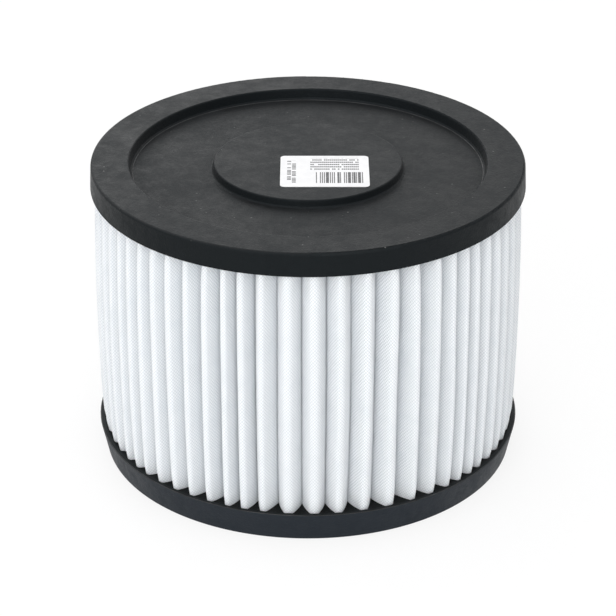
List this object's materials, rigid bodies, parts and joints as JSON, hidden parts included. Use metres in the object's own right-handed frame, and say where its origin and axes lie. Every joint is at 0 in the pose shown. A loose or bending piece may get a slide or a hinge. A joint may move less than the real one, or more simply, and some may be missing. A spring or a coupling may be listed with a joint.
{
  "type": "vacuum filter cartridge",
  "caption": "Round pleated air filter with a closed end cap, an open sealing end ring and an inner support cage, for a wet and dry vacuum cleaner.",
  "frame": {"origin": "centre of the seal face, on the filter's axis", "axes": "+Z along the filter's axis, from the open end to the closed end; the label is towards -Y"},
  "size_m": [0.19, 0.19, 0.1375],
  "materials": {
    "end_caps": "matte black cast polyurethane",
    "filter_media": "white point-bonded polyester",
    "cage": "black moulded plastic",
    "label": "white paper"
  },
  "bodies": {
    "root": {"top_end_cap": "end_caps", "bottom_end_cap": "end_caps", "pleated_media": "filter_media", "support_cage": "cage", "paper_label": "label"}
  },
  "joints": []
}
